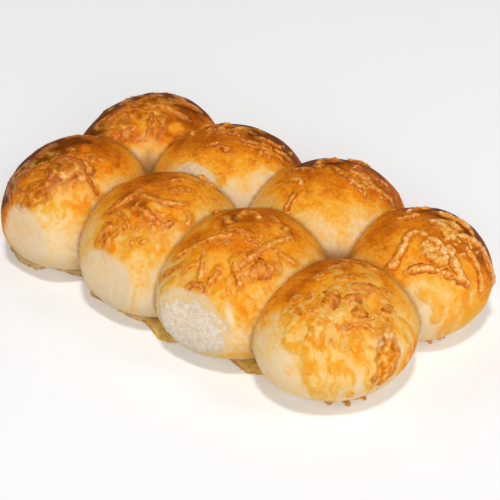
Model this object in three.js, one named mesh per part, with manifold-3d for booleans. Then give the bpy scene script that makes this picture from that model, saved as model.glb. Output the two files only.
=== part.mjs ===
// A batch of eight cheese-topped bread rolls that rose and baked against each other and are still joined.
// Millimetres, +Z up. The flat base lies on z = 0, four rolls stand along X in each of two rows along Y.
import * as THREE from 'three';
import { mergeVertices } from 'three/addons/utils/BufferGeometryUtils.js';
import Module from 'manifold-3d';

const wasm = await Module();
wasm.setup();

// Driving dimensions of every roll
const BELLY_HEIGHT = 22.5; // height of the widest level
const TUCK_DEPTH = 28; // depth of the half-ellipsoid under the belly, which the base plane cuts short
const ROLL_SIDES = 28;
const DOME_STEPS = 9;
const TUCK_STEPS = 3;

// Melted cheese shreds
const SHRED_HALF_HEIGHT = 1.8;
const SHRED_SINK = 0.4; // how far a shred's middle lies under the crust
const SHRED_SIDES = 5;
const SHRED_RING_GAP = 5.5; // length of shred for each ring of vertices
const PATH_STEPS = 8; // steps from the middle of a shred to each end
const HIDDEN_SHREDS = 3; // shreds scattered over the side of each roll that faces away
const HIDDEN_BEARING = [70, 200];
const HIDDEN_TILT = [15, 60];
const HIDDEN_LENGTH = [9, 17];
const HIDDEN_WIDTH = [3, 4.5];

// Dough that fills the space between the rolls: a low sheet under all of them, and a higher core
const SHEET_HALF_WIDTH = 45;
const SHEET_HEIGHT = 8;
const CORE_HALF_WIDTH = 33;
const CORE_HEIGHT = 26;
const CORE_HALF_LENGTH = 96;

// Thin sheet of cheese and dough that ran out under the front row and browned there: its front edge and its back
const SKIRT_EDGE = [
  [-123, -56], [-119, -66.5], [-104, -72.5], [-91, -71.5], [-88, -65.5], [-67, -60.5], [-57, -61.5],
  [-51, -69], [-19, -70], [-9, -68.5], [5, -74], [11, -73.5], [17, -69.5], [28, -69],
  [45, -63], [60, -66.5], [68, -62], [73, -54],
];
const SKIRT_BACK = -40;
const SKIRT_THICKNESS = 2;

// Drops of browned cheese at the foot of the right-hand end: place on the base and radius
const DROP_HEIGHT = 3;
const DROPS = [[107, -57, 3.5], [113, -52, 3], [117, -44, 3], [111, -15, 3.5], [117, 16, 3], [120, 22, 3]];

// Each roll has its middle on the base, half length, half width and height. A kiss mark is the flat spot where
// a roll of the next row was pulled away: bearing and tilt of its middle, and how deep it cuts.
// Bearing turns from +X towards +Y, and tilt goes from 0 at the top of the dome to 90 at the belly.
// A shred is: bearing and tilt of its middle, heading (0 is along the bearing, 90 downhill), length, curl, width.
const ROLLS = {
  front1: {
    middle: [-91.5, -35], halfLength: 41, halfWidth: 47, height: 65,
    kiss: { bearing: 272, tilt: 84, depth: 3.5 },
    shreds: [
      [249, 38, -75, 21, 10, 3.5], [285, 32, 90, 20, 100, 3.5], [322, 15, 30, 26, 130, 3.5],
      [292, 34, -30, 12, 70, 3], [269, 46, -30, 18, -30, 3], [257, 31, -50, 16, -70, 3],
      [339, 41, 80, 14, 0, 2.5], [244, 57, -170, 16, -90, 2.5], [3, 21, 60, 6, 0, 3],
    ],
  },
  front2: {
    middle: [-24.5, -35.5], halfLength: 45.5, halfWidth: 47.5, height: 65.5,
    kiss: { bearing: 270, tilt: 85, depth: 3.5 },
    shreds: [
      [320, 17, 24, 26, -55, 3], [322, 35, -13, 8, -69, 3], [244, 27, -93, 21, -46, 3.5],
      [294, 26, 23, 20, 40, 3.5], [33, 15, 69, 10, 80, 4], [74, 17, 109, 15, 60, 3],
      [349, 36, 133, 8, 120, 3], [256, 50, -75, 13, 50, 4], [267, 49, -75, 13, 40, 3],
      [70, 38, 80, 15, 15, 2.5], [269, 34, 20, 16, 50, 2.5],
    ],
  },
  front3: {
    middle: [32.5, -34], halfLength: 45, halfWidth: 50, height: 64,
    kiss: { bearing: 275, tilt: 82, depth: 4.5 },
    shreds: [
      [347, 25, -5, 36, 15, 3.5], [307, 39, 75, 14, -10, 3.5], [359, 36, 70, 17, -30, 2.5],
      [332, 40, -3, 14, -7, 7], [267, 37, 60, 18, 20, 2.5], [285, 44, 105, 11, 5, 3],
      [273, 51, 170, 13, -120, 2.5], [241, 28, -75, 33, 5, 3], [256, 44, -75, 8, 35, 2.5],
      [284, 7, -10, 14, 50, 3], [190, 12, -50, 9, 0, 4], [133, 14, 120, 11, 0, 3.5],
      [36, 28, 175, 8, 0, 4], [338, 19, 60, 9, 40, 2.5], [241, 55, -60, 20, 0, 2.5],
    ],
  },
  front4: {
    middle: [91.5, -32.5], halfLength: 41, halfWidth: 45.5, height: 55,
    shreds: [
      [298, 19, -68, 14, 13, 7], [20, 21, 68, 16, 48, 4.5], [339, 21, 0, 12, 26, 4],
      [339, 33, 134, 8, -15, 4.5], [348, 41, 14, 6, 0, 3], [12, 44, 114, 6, 26, 5.5],
      [32, 38, 61, 4, 0, 3.5], [352, 49, 18, 4, 0, 3.5], [335, 42, 22, 18, 93, 2.5],
      [53, 11, 78, 4, 0, 4], [181, 12, -177, 4, 0, 4.5], [261, 35, -87, 4, 0, 4.5],
      [278, 30, -16, 6, 0, 3], [79, 35, 138, 13, -64, 3.5], [69, 62, 147, 8, 0, 3],
    ],
  },
  back1: {
    middle: [-96, 27], halfLength: 40.5, halfWidth: 50.5, height: 62,
    shreds: [
      [330, 23, 115, 20, 0, 3], [352, 26, 140, 11, 0, 3], [218, 12, -135, 33, -15, 3],
      [28, 24, 95, 19, -30, 3], [254, 20, 90, 15, -50, 4], [276, 26, -25, 15, -10, 3],
      [60, 34, 95, 17, 5, 4], [230, 34, -105, 8, 0, 3],
    ],
  },
  back2: {
    middle: [-32.5, 26.5], halfLength: 48, halfWidth: 48.5, height: 63.5,
    shreds: [
      [160, 25, -140, 12, 0, 4], [146, 13, -130, 6, 0, 4.5], [127, 21, 175, 6, 0, 4],
      [79, 6, 135, 6, 0, 4], [97, 17, 135, 8, 0, 4], [264, 12, -60, 9, 15, 3],
      [311, 13, 30, 7, -10, 4.5], [25, 16, 90, 11, 25, 3], [33, 27, 75, 8, 0, 3],
      [14, 27, 165, 7, 0, 3], [48, 31, 110, 15, 25, 3], [32, 41, 80, 12, -40, 3],
    ],
  },
  back3: {
    middle: [34, 31.5], halfLength: 44.5, halfWidth: 50.5, height: 63.5,
    shreds: [
      [53, 10, 155, 14, 0, 4], [17, 24, 95, 11, 0, 4], [43, 24, 115, 13, 50, 4],
      [28, 42, 80, 18, 0, 4], [44, 28, 95, 6, 0, 4], [47, 44, 90, 6, 0, 4],
      [233, 17, -30, 11, 135, 3], [264, 31, 75, 14, 5, 3], [117, 22, 180, 8, 0, 4],
    ],
  },
  back4: {
    middle: [97, 32], halfLength: 39.5, halfWidth: 42.5, height: 58,
    shreds: [
      [281, 13, 129, 16, -144, 4.5], [279, 35, 96, 18, 17, 4.5], [179, 11, -147, 13, -22, 3],
      [342, 26, 79, 15, 71, 5], [327, 37, 37, 13, -56, 5], [345, 47, 90, 25, -57, 4.5],
      [29, 18, 104, 17, 9, 6], [28, 42, 78, 17, 20, 5], [25, 72, 88, 24, -60, 5],
      [6, 59, 105, 26, 10, 3.5], [311, 43, 0, 17, 50, 4], [341, 55, 41, 18, 18, 4],
      [65, 30, 132, 20, -11, 4],
    ],
  },
};

const CRUST = new THREE.MeshStandardMaterial({ name: 'crust', color: 0xd98f35, roughness: 0.55, metalness: 0 });
const UP = new THREE.Vector3(0, 0, 1);

// Seeded random numbers from 0 to 1
let state = 20261127;
function draw([low, high]) {
  state = (Math.imul(state, 1664525) + 1013904223) >>> 0;
  return low + (high - low) * (state / 2 ** 32);
}

// A closed geometry as a solid that can be joined and cut
function solid(geometry) {
  const bare = new THREE.BufferGeometry();
  bare.setAttribute('position', geometry.getAttribute('position').clone());
  bare.setIndex(geometry.getIndex());
  const merged = mergeVertices(bare, 1e-4);
  const corners = merged.getIndex().array;
  const triangles = [];
  for (let i = 0; i < corners.length; i += 3) {
    const [a, b, c] = [corners[i], corners[i + 1], corners[i + 2]];
    if (a !== b && b !== c && c !== a) triangles.push(a, b, c);
  }
  return new wasm.Manifold(new wasm.Mesh({
    numProp: 3,
    vertProperties: new Float32Array(merged.getAttribute('position').array),
    triVerts: new Uint32Array(triangles),
  }));
}

function geometryOf(body) {
  const mesh = body.getMesh();
  const geometry = new THREE.BufferGeometry();
  geometry.setAttribute('position', new THREE.BufferAttribute(mesh.vertProperties, 3));
  geometry.setIndex(new THREE.BufferAttribute(mesh.triVerts, 1));
  geometry.computeVertexNormals();
  return geometry;
}

function heart(roll) {
  return new THREE.Vector3(roll.middle[0], roll.middle[1], BELLY_HEIGHT);
}

function semiAxes(roll, aboveBelly) {
  return new THREE.Vector3(roll.halfLength, roll.halfWidth, aboveBelly ? roll.height - BELLY_HEIGHT : TUCK_DEPTH);
}

// Moves a point along the line from the roll's heart onto its crust, and returns the outward normal there
function settle(roll, point) {
  const axes = semiAxes(roll, point.z >= BELLY_HEIGHT);
  const way = point.clone().sub(heart(roll)).divide(axes).normalize();
  point.copy(way).multiply(axes).add(heart(roll));
  return way.divide(axes).normalize();
}

function crustPoint(roll, bearing, tilt) {
  const [b, t] = [THREE.MathUtils.degToRad(bearing), THREE.MathUtils.degToRad(tilt)];
  const way = new THREE.Vector3(Math.sin(t) * Math.cos(b), Math.sin(t) * Math.sin(b), Math.cos(t));
  return way.multiply(semiAxes(roll, tilt <= 90)).add(heart(roll));
}

// A roll: a dome over a tucked-in lower part on a flat base, with its kiss mark cut off
function rollSolid(roll) {
  const profile = [new THREE.Vector2(0, 0)];
  const baseAngle = Math.asin(BELLY_HEIGHT / TUCK_DEPTH);
  for (let i = 0; i <= TUCK_STEPS; i += 1) {
    const angle = baseAngle * (1 - i / TUCK_STEPS);
    profile.push(new THREE.Vector2(Math.cos(angle), BELLY_HEIGHT - TUCK_DEPTH * Math.sin(angle)));
  }
  for (let i = 1; i <= DOME_STEPS; i += 1) {
    const angle = (Math.PI / 2) * (i / DOME_STEPS);
    const radius = i === DOME_STEPS ? 0 : Math.cos(angle);
    profile.push(new THREE.Vector2(radius, BELLY_HEIGHT + (roll.height - BELLY_HEIGHT) * Math.sin(angle)));
  }
  const geometry = new THREE.LatheGeometry(profile, ROLL_SIDES);
  geometry.rotateX(Math.PI / 2);
  geometry.scale(roll.halfLength, roll.halfWidth, 1);
  geometry.translate(roll.middle[0], roll.middle[1], 0);
  const body = solid(geometry);
  return roll.kiss ? body.subtract(kissCutter(roll)) : body;
}

function kissCutter(roll) {
  const point = crustPoint(roll, roll.kiss.bearing, roll.kiss.tilt);
  const normal = settle(roll, point);
  const size = roll.height;
  const box = new THREE.BoxGeometry(size, size, size);
  box.applyQuaternion(new THREE.Quaternion().setFromUnitVectors(UP, normal));
  const reach = normal.multiplyScalar(size / 2 - roll.kiss.depth);
  box.translate(point.x + reach.x, point.y + reach.y, point.z + reach.z);
  return solid(box);
}

// Half of a shred's middle line, from its middle to one end along the crust
function halfPath(roll, [bearing, tilt, heading, length, curl], way) {
  const point = crustPoint(roll, bearing, tilt);
  let normal = settle(roll, point);
  const b = THREE.MathUtils.degToRad(bearing);
  const east = new THREE.Vector3(-Math.sin(b), Math.cos(b), 0).projectOnPlane(normal).normalize();
  const down = east.clone().cross(normal);
  const h = THREE.MathUtils.degToRad(heading);
  const direction = east.multiplyScalar(Math.cos(h)).addScaledVector(down, Math.sin(h)).multiplyScalar(way);
  const stride = length / 2 / PATH_STEPS;
  const turn = (-way * THREE.MathUtils.degToRad(curl)) / 2 / PATH_STEPS;
  const path = [{ point: point.clone(), normal, direction: direction.clone().multiplyScalar(way) }];
  for (let i = 0; i < PATH_STEPS; i += 1) {
    direction.applyAxisAngle(normal, turn);
    point.addScaledVector(direction, stride);
    normal = settle(roll, point);
    direction.projectOnPlane(normal).normalize();
    path.push({ point: point.clone(), normal, direction: direction.clone().multiplyScalar(way) });
  }
  return path;
}

// A shred: a flattened sausage with round ends, bent along the crust and half sunk into it
function shredSolid(roll, shred) {
  const [, , , length, , width] = shred;
  const path = [...halfPath(roll, shred, -1).reverse(), ...halfPath(roll, shred, 1).slice(1)];
  const rings = Math.max(3, Math.round(length / SHRED_RING_GAP) + 1);
  const geometry = new THREE.SphereGeometry(1, SHRED_SIDES, rings);
  const places = geometry.getAttribute('position');
  for (let i = 0; i < places.count; i += 1) {
    const along = places.getY(i);
    const ring = Math.hypot(places.getX(i), places.getZ(i));
    const full = ring < 1e-6 ? 0 : Math.sqrt(1 - along ** 4) / ring;
    const sideways = places.getX(i) * full * (width / 2);
    const outward = places.getZ(i) * full * SHRED_HALF_HEIGHT - SHRED_SINK;
    const step = path[Math.round(((along + 1) / 2) * (path.length - 1))];
    const side = step.direction.clone().cross(step.normal);
    const place = step.point.clone().addScaledVector(side, sideways).addScaledVector(step.normal, outward);
    places.setXYZ(i, place.x, place.y, place.z);
  }
  return solid(geometry);
}

function hiddenShred() {
  const place = [draw(HIDDEN_BEARING), draw(HIDDEN_TILT), draw([0, 360])];
  return [...place, draw(HIDDEN_LENGTH), draw([-60, 60]), draw(HIDDEN_WIDTH)];
}

function boxSolid(halfLength, halfWidth, height) {
  const box = new THREE.BoxGeometry(2 * halfLength, 2 * halfWidth, height);
  box.translate(0, 0, height / 2);
  return solid(box);
}

// The skirt: a thin plate with an uneven front edge
function skirtSolid() {
  const outline = new THREE.Shape();
  outline.moveTo(SKIRT_EDGE[0][0], SKIRT_BACK);
  for (const [x, y] of SKIRT_EDGE) outline.lineTo(x, y);
  outline.lineTo(SKIRT_EDGE.at(-1)[0], SKIRT_BACK);
  return solid(new THREE.ExtrudeGeometry(outline, { depth: SKIRT_THICKNESS, bevelEnabled: false }));
}

function dropSolid([x, y, radius]) {
  const drop = new THREE.SphereGeometry(1, 8, 5);
  drop.scale(radius, radius, DROP_HEIGHT);
  drop.translate(x, y, 0);
  return solid(drop);
}

function underfloor() {
  const size = 400;
  const box = new THREE.BoxGeometry(size, size, size);
  box.translate(0, 0, -size / 2);
  return solid(box);
}

function batchGeometry() {
  let batch = boxSolid(CORE_HALF_LENGTH, SHEET_HALF_WIDTH, SHEET_HEIGHT);
  batch = batch.add(boxSolid(CORE_HALF_LENGTH, CORE_HALF_WIDTH, CORE_HEIGHT));
  batch = batch.add(skirtSolid());
  for (const roll of Object.values(ROLLS)) batch = batch.add(rollSolid(roll));
  for (const roll of Object.values(ROLLS)) {
    const shreds = [...roll.shreds];
    for (let i = 0; i < HIDDEN_SHREDS; i += 1) shreds.push(hiddenShred());
    for (const shred of shreds) batch = batch.add(shredSolid(roll, shred));
  }
  for (const drop of DROPS) batch = batch.add(dropSolid(drop));
  return geometryOf(batch.subtract(underfloor()));
}

const batch = new THREE.Mesh(batchGeometry(), CRUST);
batch.name = 'roll_batch';

const group = new THREE.Group();
group.add(batch);
export default group;
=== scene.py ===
"""Dresses a batch of eight cheese-topped bread rolls that baked against each other and are still joined."""
import math

import bmesh
import bpy
import numpy as np
from mathutils import Matrix, Vector


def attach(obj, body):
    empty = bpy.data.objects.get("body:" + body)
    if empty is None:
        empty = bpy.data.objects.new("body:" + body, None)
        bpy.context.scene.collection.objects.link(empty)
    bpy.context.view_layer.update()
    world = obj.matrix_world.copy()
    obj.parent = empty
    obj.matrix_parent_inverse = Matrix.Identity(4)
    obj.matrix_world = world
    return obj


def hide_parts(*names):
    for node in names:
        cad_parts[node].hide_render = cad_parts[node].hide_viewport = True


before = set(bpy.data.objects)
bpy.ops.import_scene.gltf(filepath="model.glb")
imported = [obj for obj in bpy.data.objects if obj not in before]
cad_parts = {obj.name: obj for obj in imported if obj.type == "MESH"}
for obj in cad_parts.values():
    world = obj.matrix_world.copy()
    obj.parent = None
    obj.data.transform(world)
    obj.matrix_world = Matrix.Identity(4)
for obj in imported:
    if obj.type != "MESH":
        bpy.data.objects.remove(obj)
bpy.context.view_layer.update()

MM = 0.001  # metres in a millimetre: shapes are worked out in millimetres, as in the part's source

# Driving dimensions, as in the solid
BELLY_HEIGHT = 22.5
TUCK_DEPTH = 28.0
SHEET_HALF_WIDTH = 45.0
SHEET_HEIGHT = 8.0
CORE_HALF_WIDTH = 33.0
CORE_HEIGHT = 26.0
CORE_HALF_LENGTH = 96.0
ROW_PITCH = 63.0  # from a row of rolls to the next, also to the row that was pulled away in front
PATH_STEPS = 8  # from the middle of a shred to each end
# Shreds on the far side of each roll: how many, and the range of each value of a shred's row
HIDDEN_SHREDS = 3
HIDDEN_RANGES = ((70, 200), (15, 60), (0, 360), (9, 17), (-60, 60), (3, 4.5))
HIDDEN_SEED = 20261127

# Layers of noise: strength, size in millimetres, seed
LUMPS = ((0.8, 34.0, 11), (0.35, 13.0, 12), (0.12, 6.0, 13))
STREAKS = ((1.0, 4.5, 26), (0.6, 1.9, 27))
KNOBS = ((0.6, 3.4, 53), (0.5, 1.6, 54), (0.25, 0.9, 55))
SHRED_TONES = ((1.0, 1.8, 56), (0.5, 4.0, 57))
RAGGED_LIP = ((0.7, 5.0, 61), (0.4, 2.2, 62))

# Fineness of the mesh and of its soft joins
VOXEL = 0.7
CREASE_ROUND = 0.45
KISS_ROUND = 2.2
BASE_ROUND = 1.6

# How the crust browned, by its height from 0 to 1, its place and the way it faces, and on which side of the
# creases shade is painted
BROWN_BY_HEIGHT = ((0.0, 0.35, 0.55, 0.75, 0.9, 1.0), (0.06, 0.10, 0.25, 0.40, 0.50, 0.65))
LEFT_END = (-84.0, -112.0)  # where along X the left end begins to brown, and where it has browned most
REAR = (28.0, 54.0)  # the same along Y for the rear
BROWNEST = 0.94
FAR_BROWNEST = 0.55  # on the far side, which the photograph does not show
NEAR_SIDE = (0.54, -0.62, 0.57)  # the side that it shows
SHADY_SIDE = (-0.75, 0.65)  # the side of each roll that is painted browner
DEEP_SIDE = (-0.35, 0.94)  # the side whose creases lie in shade
FLOW_STRETCH = (1.0, 1.0, 0.35)  # melted cheese runs downhill in streaks

# The cheese: shreds that kept their shape, and how they lie
SHRED_HEIGHT = 2.0
BIT_HEIGHT = 1.3
SHRED_SINK = 0.3
SHRED_RING_GAP = 0.5
SHRED_FOOT = 1.25  # half width of a strand's foot, against its own half width
SHRED_TOP = 9  # points over the top of a strand's outline
SHRED_UNDER = (-0.8, 0.0, 0.8)  # points across its outline below the crust
SHRED_DEPTH = 0.8  # how deep those lie

# Melted cheese at the foot of the batch: places along its front edge
SKIRT_EDGE = [
    (-123, -56), (-119, -66.5), (-104, -72.5), (-91, -71.5), (-88, -65.5), (-67, -60.5), (-57, -61.5),
    (-51, -69), (-19, -70), (-9, -68.5), (5, -74), (11, -73.5), (17, -69.5), (28, -69),
    (45, -63), (60, -66.5), (68, -62), (73, -54),
]
# Outline of the lip from its brink inwards: distance in, height in thicknesses
SKIRT_SECTION = ((0.4, 0.0), (0.0, 0.35), (0.35, 0.75), (1.5, 0.95), (3.5, 1.0), (6.0, 1.2), (9.0, 1.5))
SKIRT_BACK = -40.0  # how far in under the rolls it reaches, along Y
SKIRT_DEPTH = 10.0  # least depth of the lip from front to back
SKIRT_THICKNESS = 2.0
SKIRT_STEP = 0.8
SKIRT_GOLDEN = (-12.0, 13.0, 40.0)  # golden from the first place along X to the second, and from the third on
DROP_HEIGHT = 3.0
DROPS = [(107, -57, 3.5), (113, -52, 3), (117, -44, 3), (111, -15, 3.5), (117, 16, 3), (120, 22, 3)]
DROP_CRUMBS = 7  # in each drop
DROP_SEED = 77

# Each roll: middle on the base, half length, half width, height, how far its cheese melted, kiss mark
# (bearing, tilt, depth) and shreds (bearing, tilt, heading, length, curl, width), in millimetres and degrees.
# Bearing turns from +X towards +Y, tilt goes from 0 at the top to 90 at the belly, heading 90 is downhill.
ROLLS = {
    "front1": dict(
        middle=(-91.5, -35.0), half=(41.0, 47.0), height=65.0, melt=1.0, kiss=(272, 84, 3.5),
        shreds=[
            (249, 38, -75, 21, 10, 3.5), (285, 32, 90, 20, 100, 3.5), (322, 15, 30, 26, 130, 3.5),
            (292, 34, -30, 12, 70, 3), (269, 46, -30, 18, -30, 3), (257, 31, -50, 16, -70, 3),
            (339, 41, 80, 14, 0, 2.5), (244, 57, -170, 16, -90, 2.5), (3, 21, 60, 6, 0, 3),
        ],
    ),
    "front2": dict(
        middle=(-24.5, -35.5), half=(45.5, 47.5), height=65.5, melt=0.6, kiss=(270, 85, 3.5),
        shreds=[
            (320, 17, 24, 26, -55, 3), (322, 35, -13, 8, -69, 3), (244, 27, -93, 21, -46, 3.5),
            (294, 26, 23, 20, 40, 3.5), (33, 15, 69, 10, 80, 4), (74, 17, 109, 15, 60, 3),
            (349, 36, 133, 8, 120, 3), (256, 50, -75, 13, 50, 4), (267, 49, -75, 13, 40, 3),
            (70, 38, 80, 15, 15, 2.5), (269, 34, 20, 16, 50, 2.5),
        ],
    ),
    "front3": dict(
        middle=(32.5, -34.0), half=(45.0, 50.0), height=64.0, melt=0.6, kiss=(275, 82, 4.5),
        shreds=[
            (347, 25, -5, 36, 15, 3.5), (307, 39, 75, 14, -10, 3.5), (359, 36, 70, 17, -30, 2.5),
            (332, 40, -3, 14, -7, 7), (267, 37, 60, 18, 20, 2.5), (285, 44, 105, 11, 5, 3),
            (273, 51, 170, 13, -120, 2.5), (241, 28, -75, 33, 5, 3), (256, 44, -75, 8, 35, 2.5),
            (284, 7, -10, 14, 50, 3), (190, 12, -50, 9, 0, 4), (133, 14, 120, 11, 0, 3.5),
            (36, 28, 175, 8, 0, 4), (338, 19, 60, 9, 40, 2.5), (241, 55, -60, 20, 0, 2.5),
        ],
    ),
    "front4": dict(
        middle=(91.5, -32.5), half=(41.0, 45.5), height=55.0, melt=0.7,
        shreds=[
            (298, 19, -68, 14, 13, 7), (20, 21, 68, 16, 48, 4.5), (339, 21, 0, 12, 26, 4),
            (339, 33, 134, 8, -15, 4.5), (348, 41, 14, 6, 0, 3), (12, 44, 114, 6, 26, 5.5),
            (32, 38, 61, 4, 0, 3.5), (352, 49, 18, 4, 0, 3.5), (335, 42, 22, 18, 93, 2.5),
            (53, 11, 78, 4, 0, 4), (181, 12, -177, 4, 0, 4.5), (261, 35, -87, 4, 0, 4.5),
            (278, 30, -16, 6, 0, 3), (79, 35, 138, 13, -64, 3.5), (69, 62, 147, 8, 0, 3),
        ],
    ),
    "back1": dict(
        middle=(-96.0, 27.0), half=(40.5, 50.5), height=62.0, melt=0.7,
        shreds=[
            (330, 23, 115, 20, 0, 3), (352, 26, 140, 11, 0, 3), (218, 12, -135, 33, -15, 3),
            (28, 24, 95, 19, -30, 3), (254, 20, 90, 15, -50, 4), (276, 26, -25, 15, -10, 3),
            (60, 34, 95, 17, 5, 4), (230, 34, -105, 8, 0, 3),
        ],
    ),
    "back2": dict(
        middle=(-32.5, 26.5), half=(48.0, 48.5), height=63.5, melt=0.2,
        shreds=[
            (160, 25, -140, 12, 0, 4), (146, 13, -130, 6, 0, 4.5), (127, 21, 175, 6, 0, 4),
            (79, 6, 135, 6, 0, 4), (97, 17, 135, 8, 0, 4), (264, 12, -60, 9, 15, 3),
            (311, 13, 30, 7, -10, 4.5), (25, 16, 90, 11, 25, 3), (33, 27, 75, 8, 0, 3),
            (14, 27, 165, 7, 0, 3), (48, 31, 110, 15, 25, 3), (32, 41, 80, 12, -40, 3),
        ],
    ),
    "back3": dict(
        middle=(34.0, 31.5), half=(44.5, 50.5), height=63.5, melt=0.2,
        shreds=[
            (53, 10, 155, 14, 0, 4), (17, 24, 95, 11, 0, 4), (43, 24, 115, 13, 50, 4),
            (28, 42, 80, 18, 0, 4), (44, 28, 95, 6, 0, 4), (47, 44, 90, 6, 0, 4),
            (233, 17, -30, 11, 135, 3), (264, 31, 75, 14, 5, 3), (117, 22, 180, 8, 0, 4),
        ],
    ),
    "back4": dict(
        middle=(97.0, 32.0), half=(39.5, 42.5), height=58.0, melt=0.2,
        shreds=[
            (281, 13, 129, 16, -144, 4.5), (279, 35, 96, 18, 17, 4.5), (179, 11, -147, 13, -22, 3),
            (342, 26, 79, 15, 71, 5), (327, 37, 37, 13, -56, 5), (345, 47, 90, 25, -57, 4.5),
            (29, 18, 104, 17, 9, 6), (28, 42, 78, 17, 20, 5), (25, 72, 88, 24, -60, 5),
            (6, 59, 105, 26, 10, 3.5), (311, 43, 0, 17, 50, 4), (341, 55, 41, 18, 18, 4),
            (65, 30, 132, 20, -11, 4),
        ],
    ),
}
NAMES = list(ROLLS)

# Strands that melted flat, in the same terms as shreds
DRIPS = {
    "front1": [(279, 54, -13, 34, -23, 2), (306, 57, -105, 3, 0, 2), (333, 3, 5, 5, 0, 2.5)],
    "front2": [(317, 40, -30, 12, -11, 2)],
    "front3": [(247, 63, -62, 10, 0, 2), (52, 14, 107, 3, 0, 3)],
    "front4": [
        (276, 60, 16, 14, -125, 2.5), (317, 54, -52, 8, 111, 2.5), (295, 79, 75, 24, 13, 4),
        (308, 87, 103, 25, 0, 3), (336, 78, 96, 15, 26, 3), (17, 72, 87, 29, 113, 3),
        (320, 86, -56, 9, -123, 2.5), (328, 59, 89, 5, 0, 3), (277, 37, -15, 19, 145, 2.5),
    ],
    "back1": [(292, 32, 84, 4, 0, 3), (27, 34, 78, 5, 0, 3)],
    "back3": [(62, 24, 111, 3, 0, 3)],
    "back4": [(321, 72, 65, 19, 92, 4), (331, 88, 118, 27, -73, 4)],
}

# Bits too small for the solid, in the same terms
BITS = {
    "front4": [
        (358, 43, 64, 2.5, 0, 2.5), (2, 51, 41, 3, 0, 3), (125, 10, 176, 2.5, 0, 3), (49, 3, 83, 2, 0, 2.5),
        (55, 23, 92, 2, 0, 2.5), (244, 30, -64, 3, 0, 3), (252, 38, -60, 3, 0, 3), (318, 57, 90, 2.5, 0, 2.5),
    ],
    "back1": [(336, 29, 115, 16, -8, 2.5), (346, 28, 135, 12, 11, 2.5)],
}

# Patches on the crust: bearing, tilt, heading, half length, half width, strength.
# The film of melted cheese has holes, which are the patches of a strength below 0.
FILM = {
    "front1": [(299, 37, -33, 23, 12, 0.9), (328, 50, 108, 10, 5, 0.9), (301, 52, 160, 15, 4, 0.6)],
    "front2": [
        (267, 54, 37, 9, 6, 1.0), (288, 46, 113, 12, 5, 0.6), (309, 49, 121, 12, 6, 0.65),
        (303, 28, 10, 11, 5, 0.8), (309, 46, 30, 12, 6, 0.7), (254, 35, -53, 9, 5, 0.6),
        (339, 38, 4, 6, 3, 0.7),
    ],
    "front3": [
        (309, 48, -7, 14, 7, 1.0), (314, 59, 86, 10, 7, 0.9), (254, 30, -70, 14, 5, 0.7),
        (277, 52, -15, 7, 4, 0.9), (345, 22, 31, 16, 6, 0.4), (283, 55, 0, 16, 8, 0.35),
        (320, 46, 75, 6, 3.5, -1.0),
    ],
    "front4": [
        (291, 46, -10, 15, 10, 0.9), (294, 73, 79, 16, 5, 0.75), (309, 75, 94, 21, 4, 0.55),
        (320, 80, 96, 6, 3, 0.9), (334, 77, 86, 14, 3, 0.9), (9, 65, 78, 13, 4, 0.9),
        (316, 28, 10, 16, 9, 0.45), (322, 104, -17, 6, 3, 0.8), (326, 74, 92, 11, 4, -1.0),
        (301, 80, 88, 8, 2.5, -1.0), (274, 51, 20, 5, 4, -1.0),
    ],
    "back1": [(328, 29, 106, 17, 9, 0.6), (270, 29, -69, 13, 7, 0.8)],
    "back2": [(306, 38, 57, 6, 3, 0.8), (16, 27, 69, 15, 5, 0.45)],
    "back3": [(21, 31, 74, 17, 5, 0.4), (259, 28, 57, 11, 4, 0.35)],
    "back4": [(324, 45, 27, 15, 8, 0.7), (357, 49, 117, 12, 6, 0.5)],
}
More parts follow.
